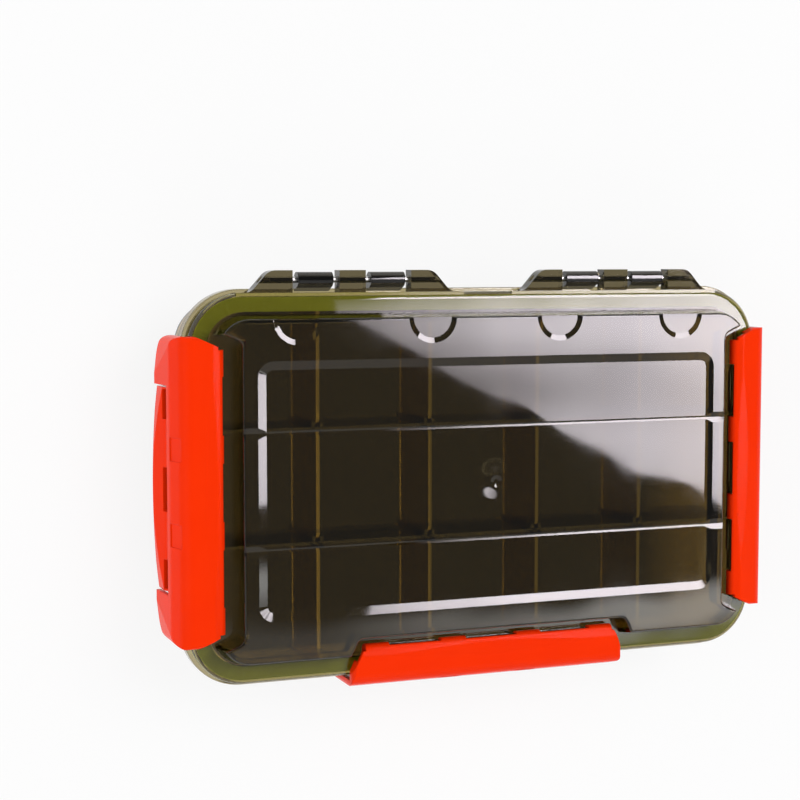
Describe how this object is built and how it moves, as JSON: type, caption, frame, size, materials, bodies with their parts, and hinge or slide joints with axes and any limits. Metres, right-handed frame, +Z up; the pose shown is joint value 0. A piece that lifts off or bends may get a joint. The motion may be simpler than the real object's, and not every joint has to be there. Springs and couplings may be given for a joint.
{
  "type": "tackle box",
  "caption": "Shallow see-through tackle box with a sealed hinged lid, pull-up side and front latches, long rows and slotted removable dividers.",
  "frame": {"origin": "centre of the box's footprint, on the underside of the tray", "axes": "+X along the box to the right latch, +Y to the hinges at the back, +Z up through the lid"},
  "size_m": [0.278, 0.177, 0.0495],
  "materials": {
    "smoked_tray": "clear smoked brown, glossy",
    "smoked_lid": "clear smoked brown, glossy",
    "smoked_divider": "clear smoked amber, glossy",
    "orange_latch": "bright orange-red, satin gloss",
    "olive_seal": "olive green silicone, satin",
    "steel_pin": "plain drawn wire"
  },
  "bodies": {
    "tray": {"base_tray": "smoked_tray", "hinge_pin_left": "steel_pin", "hinge_pin_right": "steel_pin", "divider_front_1": "smoked_divider", "divider_front_2": "smoked_divider", "divider_front_3": "smoked_divider", "divider_front_4": "smoked_divider", "divider_middle_1": "smoked_divider", "divider_middle_2": "smoked_divider", "divider_middle_3": "smoked_divider", "divider_middle_4": "smoked_divider", "divider_back_1": "smoked_divider", "divider_back_2": "smoked_divider", "divider_back_3": "smoked_divider", "divider_back_4": "smoked_divider"},
    "lid": {"lid": "smoked_lid", "lid_gasket": "olive_seal", "latch_pin_left": "steel_pin", "latch_pin_right": "steel_pin", "latch_pin_front": "steel_pin"},
    "latch_left": {"latch_left": "orange_latch"},
    "latch_right": {"latch_right": "orange_latch"},
    "latch_front": {"latch_front": "orange_latch"}
  },
  "joints": [
    {"name": "lid_hinge", "type": "hinge", "parent": "tray", "child": "lid", "pos_m": [0, 0.0847, 0.0362], "axis": [-1, 0, 0], "range_deg": [0, 100]},
    {"name": "latch_left_pivot", "type": "hinge", "parent": "lid", "child": "latch_left", "pos_m": [-0.119, 0, 0.0428], "axis": [0, 1, 0], "range_deg": [0, 95]},
    {"name": "latch_right_pivot", "type": "hinge", "parent": "lid", "child": "latch_right", "pos_m": [0.119, 0, 0.0428], "axis": [0, -1, 0], "range_deg": [0, 95]},
    {"name": "latch_front_pivot", "type": "hinge", "parent": "lid", "child": "latch_front", "pos_m": [0, -0.0685, 0.0428], "axis": [-1, 0, 0], "range_deg": [0, 95]}
  ]
}
